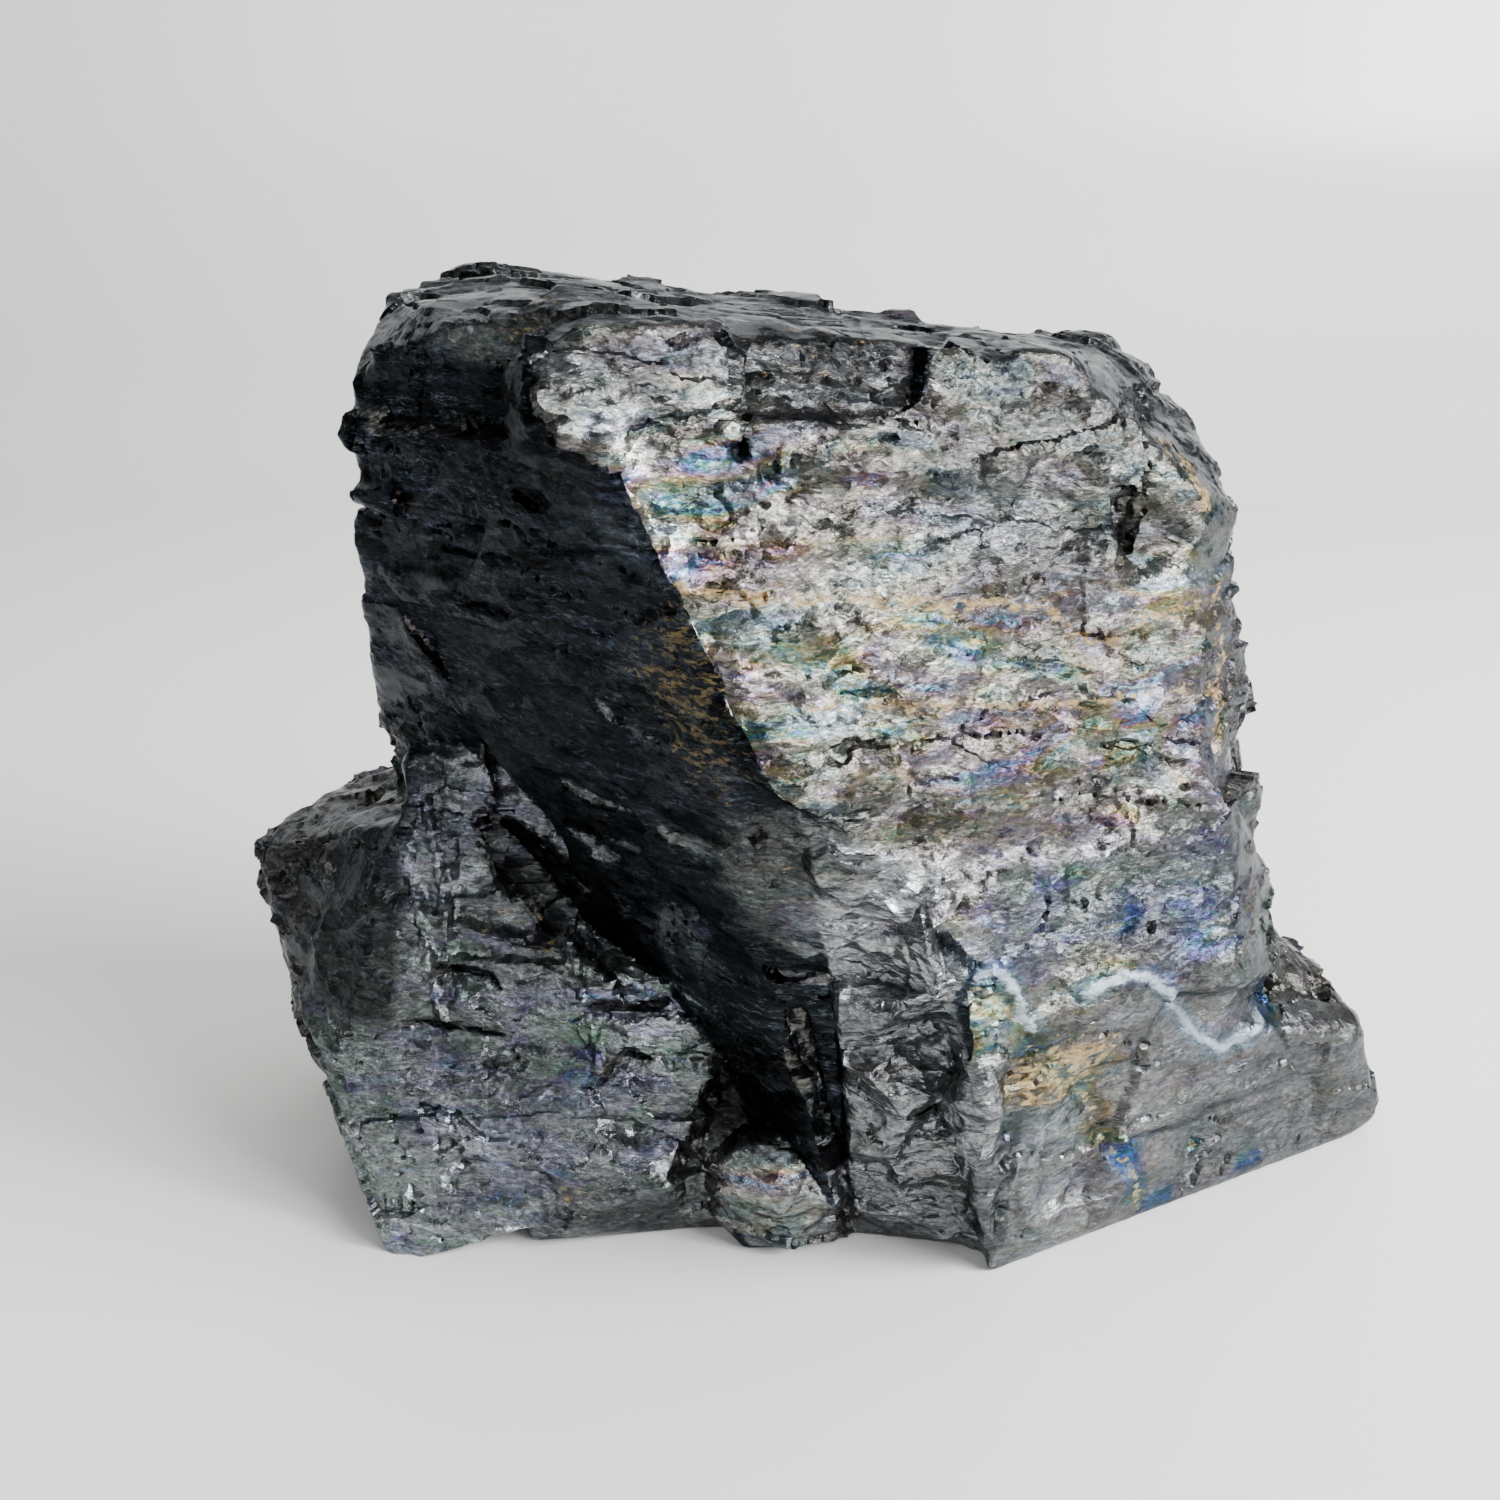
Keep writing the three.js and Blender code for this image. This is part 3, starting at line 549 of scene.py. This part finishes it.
def shungite():
    """Black to silver-grey carbon rock under a patchy film of oxide colours, with ochre iron stains."""
    finish = bpy.data.materials.new("shungite")
    finish.use_nodes = True
    tree = finish.node_tree
    shader = tree.nodes["Principled BSDF"]
    shader.inputs["Specular Tint"].default_value = GLANCE

    def share(name):
        return add_node(tree, "ShaderNodeAttribute", attribute_name=name).outputs["Fac"]

    def mixed(factor, under, over, blend="MIX"):
        made = add_node(tree, "ShaderNodeMix", data_type="RGBA", blend_type=blend, clamp_factor=True)
        for socket, value in ((made.inputs[0], factor), (made.inputs[6], under), (made.inputs[7], over)):
            if isinstance(value, bpy.types.NodeSocket):
                tree.links.new(value, socket)
            else:
                socket.default_value = value
        return made.outputs[2]

    def blended(factor, under, over):
        """From one plain value to the other."""
        return add_node(tree, "ShaderNodeMix", {0: factor, 2: under, 3: over}).outputs[0]

    def grey(value):
        return add_node(tree, "ShaderNodeCombineColor", {0: value, 1: value, 2: value}).outputs[0]

    def one_of(colour):
        """The first part of a random colour, as a plain random value."""
        return add_node(tree, "ShaderNodeSeparateColor", {0: colour}).outputs[0]

    def uneven(name, noise, amount):
        """A mark on the skin whose edge wanders with a noise."""
        wander = maths(tree, "MULTIPLY", maths(tree, "SUBTRACT", noise, 0.5), amount)
        return maths(tree, "ADD", share(name), wander)

    # Places on the stone in millimetres, turned with the beds and bent a little, so that nothing runs
    # quite straight.
    place = add_node(tree, "ShaderNodeTexCoord").outputs["Object"]
    millimetres = scaled(tree, along_bedding(tree, place), 1000.0)
    wander = centred(tree, cloud(tree, millimetres, (7, 7, 4), colour=True))
    bent = vectors(tree, "ADD", millimetres, scaled(tree, wander, 2.0))
    crumple = centred(tree, cloud(tree, bent, (1.8, 1.8, 0.9), detail=2, colour=True))
    crumpled = vectors(tree, "ADD", bent, scaled(tree, crumple, 0.9))

    def scales(length, height):
        """A random colour for each scale of the given size."""
        return cells(tree, crumpled, (length, length, height))["Color"]

    # Light and dark of the bare rock: broad patches, streaks along the bedding, and scales that each have
    # a tone of their own, a few of them pitch dark, and a few painted bright as glints.
    patches = cloud(tree, bent, (16, 16, 9), detail=3)
    streaks = cloud(tree, bent, (9, 9, 1.5), detail=5, roughness=0.6)
    large, middling = scales(6.5, 3.0), scales(2.4, 1.1)
    small, tiny = scales(0.9, 0.42), scales(0.45, 0.26)
    grain = cloud(tree, bent, (1.2, 1.2, 0.5), detail=4, roughness=0.7)
    satin = share("satin")
    streaky = maths(tree, "SUBTRACT", streaks, 0.5)
    streaky = maths(tree, "MULTIPLY", streaky, rise(tree, satin, 0.0, 1.0, 1.0, 0.3))
    tone = maths(tree, "ADD", maths(tree, "MULTIPLY", streaky, 1.1), 1.0)
    for share_of_light, low, high in (
        (rise(tree, patches, 0.3, 0.7), 0.72, 1.28),
        (one_of(large), 0.88, 1.12),
        (one_of(middling), 0.82, 1.18),
        (one_of(tiny), 0.66, 1.34),
        (rise(tree, grain, 0.3, 0.7), 0.66, 1.34),
    ):
        part = maths(tree, "ADD", maths(tree, "MULTIPLY", share_of_light, high - low), low)
        tone = maths(tree, "MULTIPLY", tone, part)
    pitch_dark = rise(tree, one_of(small), 0.05, 0.08, 0.6, 1.0)
    # A few scales are painted bright as glints.
    painted_glint = rise(tree, one_of(small), 0.95, 0.97)
    speckle = maths(tree, "MULTIPLY", pitch_dark, maths(tree, "ADD", painted_glint, 1.0))
    speckle = blended(maths(tree, "MULTIPLY", satin, 0.8), speckle, 1.0)
    tone = maths(tree, "MULTIPLY", tone, speckle)

    # Dark flaws run between flakes, in some patches only.
    flaws = cells(tree, crumpled, (5.0, 5.0, 2.6), "DISTANCE_TO_EDGE")["Distance"]
    flaws = maths(tree, "MULTIPLY", rise(tree, flaws, 0.030, 0.008), rise(tree, patches, 0.48, 0.56))
    flaws = maths(tree, "SUBTRACT", 1.0, maths(tree, "MULTIPLY", flaws, 0.45))
    tone = maths(tree, "MULTIPLY", tone, flaws)
    tone = maths(tree, "MAXIMUM", maths(tree, "MULTIPLY", tone, share("lustre_and_painted_light")), 0.006)

    # Painted shade makes the overhanging face close to black, with dim streaks and a ragged edge.
    edge = maths(tree, "ADD", maths(tree, "SUBTRACT", grain, 0.5), maths(tree, "SUBTRACT", streaks, 0.5))
    painted_shade = maths(tree, "ADD", share("painted_shade"), maths(tree, "MULTIPLY", edge, 0.8))
    painted_shade = rise(tree, painted_shade, 0.38, 0.62)
    dim = rise(tree, streaks, 0.35, 0.75, 0.012, 0.29)
    dim = maths(tree, "MULTIPLY", dim, rise(tree, patches, 0.3, 0.7, 0.4, 1.2))
    tone = maths(tree, "MULTIPLY", tone, blended(painted_shade, 1.0, dim))

    # Bright broken threads along the bedding, painted as glints, fainter on the satin faces.
    painted_glint_threads = cloud(tree, crumpled, (8, 8, 1.3), detail=4, roughness=0.6)
    painted_glint_threads = rise(tree, maths(tree, "ABSOLUTE", maths(tree, "SUBTRACT", painted_glint_threads, 0.5)), 0.022, 0.004)
    for where in (
        rise(tree, patches, 0.4, 0.6, 0.4, 1.0),
        rise(tree, grain, 0.4, 0.6),
        rise(tree, satin, 0.0, 1.0, 0.08, 0.03),
    ):
        painted_glint_threads = maths(tree, "MULTIPLY", painted_glint_threads, where)
    tone = maths(tree, "ADD", tone, painted_glint_threads)
    rock = mixed(1.0, grey(tone), ROCK_TINT, "MULTIPLY")
    # Under the painted shade the rock takes a bluer tint.
    rock = mixed(painted_shade, rock, mixed(1.0, rock, SHADED_TINT, "MULTIPLY"))

    # The film: its colour goes round with its thickness, which follows the bedding in streaks. It covers
    # the skin in eddies, thin in most places and thick in a few.
    thickness = cloud(tree, bent, (24, 24, 8), detail=4, roughness=0.55, twist=1.2)
    thickness = maths(tree, "MULTIPLY", thickness, 2.8)
    fine_film = cloud(tree, bent, (6, 6, 1.1), detail=4, roughness=0.6)
    for value, change in ((fine_film, 0.9), (one_of(middling), 0.12), (one_of(small), 0.12)):
        thickness = maths(tree, "ADD", thickness, maths(tree, "MULTIPLY", value, change))
    turn = maths(tree, "FRACT", thickness)

    def run_of(colours):
        """A ramp through the colours that comes back to the first."""
        bands = add_node(tree, "ShaderNodeValToRGB", {"Fac": turn})
        stops = bands.color_ramp.elements
        while len(stops) <= len(colours):
            stops.new(0.5)
        for i, stop in enumerate(stops):
            stop.position = i / len(colours)
            stop.color = (*colours[i % len(colours)], 1)
        return bands.outputs["Color"]

    tint = mixed(share("gold"), run_of(FULL_RUN), run_of(GOLD_RUN))
    tint = mixed(share("blue"), tint, run_of(BLUE_RUN))
    eddies = cloud(tree, bent, (9, 9, 3.5), detail=5, roughness=0.65)
    cover = uneven("film", eddies, 2.6)
    thin, thick = rise(tree, cover, 0.1, 0.6, 0.0, 0.36), rise(tree, cover, 0.72, 1.2, 0.0, 0.56)
    rock = mixed(maths(tree, "ADD", thin, thick), rock, mixed(1.0, rock, tint, "MULTIPLY"))

    # Ochre: thickest along the veins, with ragged edges and crumbs beside them.
    ragged = cloud(tree, crumpled, (3.0, 3.0, 1.1), detail=6, roughness=0.75)
    ochre = rise(tree, uneven("ochre", ragged, 2.4), 0.62, 0.85)
    stain = mixed(rise(tree, grain, 0.35, 0.65), DEEP_OCHRE, PALE_OCHRE)
    # Painted shade dims the ochre too.
    stain = mixed(painted_shade, stain, mixed(1.0, stain, SHADED_OCHRE, "MULTIPLY"))
    rock = mixed(maths(tree, "MULTIPLY", ochre, 0.8), rock, stain)

    # The seam: a white line with a blue edge.
    seam = uneven("seam", ragged, 0.9)
    rim = maths(tree, "MULTIPLY", rise(tree, seam, 0.15, 0.55), 0.6)
    frosted = rise(tree, cloud(tree, bent, (5, 5, 3), detail=3), 0.35, 0.6, 0.3, 0.85)
    line = maths(tree, "MULTIPLY", rise(tree, seam, 0.66, 0.95), frosted)
    rock = mixed(rim, rock, mixed(1.0, rock, SEAM_RIM, "MULTIPLY"))
    rock = mixed(line, rock, SEAM_WHITE)
    tree.links.new(rock, shader.inputs["Base Color"])

    # The rock shines like a metal, and the ochre and the seam are matt.
    matt = maths(tree, "MAXIMUM", ochre, line)
    metal = maths(tree, "SUBTRACT", 0.9, maths(tree, "MULTIPLY", matt, 0.8))
    tree.links.new(metal, shader.inputs["Metallic"])
    dulled = rise(tree, streaks, 0.3, 0.7, 0.18, 0.32)
    dulled = maths(tree, "ADD", dulled, maths(tree, "MULTIPLY", matt, 0.3))
    tree.links.new(dulled, shader.inputs["Roughness"])

    # Fine relief: thin bed ends, curved chips with a fan of ripples, small shells and grain. The scales
    # lie at odd angles to it.
    steps = maths(tree, "SNAP", cloud(tree, bent, (10, 10, 2.4), detail=2, roughness=0.5), 0.06)
    scooped = share("scooped")
    fans = shell(tree, cells(tree, bent, (11, 11, 9))["Distance"], 34.0, 0.010)
    fans = maths(tree, "MULTIPLY", fans, rise(tree, scooped, 0.0, 1.0, 0.25, 1.0))
    shells = cells(tree, crumpled, (3.4, 3.4, 2.3))["Distance"]
    shells = maths(tree, "MULTIPLY", shells, shells)
    shells = maths(tree, "MULTIPLY", shells, rise(tree, scooped, 0.0, 1.0, 0.15, 0.8))
    relief = maths(tree, "MULTIPLY", steps, rise(tree, satin, 0.0, 1.0, 1.6, 0.2))
    relief = maths(tree, "ADD", relief, maths(tree, "MULTIPLY", fans, 2.2))
    relief = maths(tree, "ADD", relief, shells)
    relief = maths(tree, "ADD", relief, maths(tree, "MULTIPLY", grain, 0.10))
    bump = add_node(tree, "ShaderNodeBump", {"Strength": 1.0, "Distance": 0.0014, "Height": relief})
    facing = bump.outputs["Normal"]
    flatness = rise(tree, satin, 0.0, 1.0, 1.0, 0.45)
    for colour, amount in ((large, 0.36), (middling, 0.24), (small, 0.16)):
        tilt = scaled(tree, centred(tree, colour), flatness)
        facing = vectors(tree, "ADD", facing, scaled(tree, tilt, amount))
    tree.links.new(vectors(tree, "NORMALIZE", facing), shader.inputs["Normal"])
    return finish


def bake(stone):
    """Turns what the stone's modifiers make of it into its plain mesh."""
    graph = bpy.context.evaluated_depsgraph_get()
    mesh = bpy.data.meshes.new_from_object(stone.evaluated_get(graph))
    stone.modifiers.clear()
    stone.data = mesh


def raw_chunk():
    """The solid's own form with the fracture broken into its skin, as one closed mesh."""
    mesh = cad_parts["shungite_chunk"].data.copy()
    merged = bmesh.new()
    merged.from_mesh(mesh)
    bmesh.ops.remove_doubles(merged, verts=merged.verts, dist=WELD)
    merged.to_mesh(mesh)
    merged.free()
    stone = bpy.data.objects.new("shungite", mesh)
    bpy.context.scene.collection.objects.link(stone)
    skin = stone.modifiers.new("one closed skin", "REMESH")
    skin.mode = "VOXEL"
    skin.voxel_size = VOXEL
    bake(stone)
    mark_skin(stone.data)
    relief = stone.modifiers.new("fracture relief", "NODES")
    relief.node_group = fracture_relief()
    inputs = {s.name: s.identifier for s in relief.node_group.interface.items_tree if s.in_out == "INPUT"}
    relief[inputs["Finish"]] = shungite()
    bake(stone)
    thinned = stone.modifiers.new("thinned", "DECIMATE")
    thinned.ratio = min(1.0, TRIANGLES / (2 * len(stone.data.polygons)))
    bake(stone)
    for vertex in stone.data.vertices:
        vertex.co.z = max(vertex.co.z, 0.0)
    stone.data.set_sharp_from_angle(angle=CREASE)
    return stone


stone = raw_chunk()
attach(stone, "root")
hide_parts("shungite_chunk")

# ---- Floor, backdrop and light -------------------------------------------------------------------
# A pale table that turns up into a pale wall. Two windows light the stone from the right, and a ceiling
# and the room behind the camera lighten the shadows. Sizes are in metres and the lamps in watts.
PALE = (0.93, 0.925, 0.905, 1)
PALE_ROUGHNESS = 0.24
LAMPS_AIM_AT = (0, 0, 0.06)
LAMPS = (
    ("window", (0.95, -0.25, 0.5), (0.45, 0.4), 24),
    ("second window", (0.75, -0.52, 0.5), (0.5, 0.5), 14),
    ("ceiling", (0.2, 0.3, 1.3), (1.2, 1.2), 8),
    ("room", (-0.6, -0.9, 0.7), (0.5, 0.5), 4),
)
SKY = (0.93, 0.97, 1, 1)
SKY_STRENGTH = 0.22


def sweep():
    """The table and the wall behind it as one sheet, curved where they meet."""
    bend, behind, reach = 0.25, 0.9, 3.0
    profile = [(-reach, 0.0), (behind - bend, 0.0)]
    profile += [
        (behind - bend + bend * math.sin(a), bend - bend * math.cos(a))
        for a in [math.radians(i * 10) for i in range(1, 10)]
    ]
    profile.append((behind, reach))
    corners = [(side * reach, y, z) for y, z in profile for side in (-1, 1)]
    faces = [(2 * i, 2 * i + 1, 2 * i + 3, 2 * i + 2) for i in range(len(profile) - 1)]
    mesh = bpy.data.meshes.new("table and wall")
    mesh.from_pydata(corners, [], faces)
    mesh.shade_smooth()
    sheet = bpy.data.objects.new("table_and_wall", mesh)
    bpy.context.scene.collection.objects.link(sheet)
    pale = bpy.data.materials.new("pale laminate")
    pale.use_nodes = True
    surface = pale.node_tree.nodes["Principled BSDF"]
    surface.inputs["Base Color"].default_value = PALE
    surface.inputs["Roughness"].default_value = PALE_ROUGHNESS
    mesh.materials.append(pale)


def soft_light(name, place, size, power):
    lamp = bpy.data.lights.new(name, "AREA")
    lamp.shape = "RECTANGLE"
    lamp.size, lamp.size_y = size
    lamp.energy = power
    holder = bpy.data.objects.new(name, lamp)
    holder.location = place
    holder.rotation_euler = (Vector(LAMPS_AIM_AT) - Vector(place)).to_track_quat("-Z", "Y").to_euler()
    bpy.context.scene.collection.objects.link(holder)


sweep()
for lamp in LAMPS:
    soft_light(*lamp)
world = bpy.data.worlds.new("room")
world.use_nodes = True
sky = world.node_tree.nodes["Background"]
sky.inputs["Color"].default_value = SKY
sky.inputs["Strength"].default_value = SKY_STRENGTH
bpy.context.scene.world = world
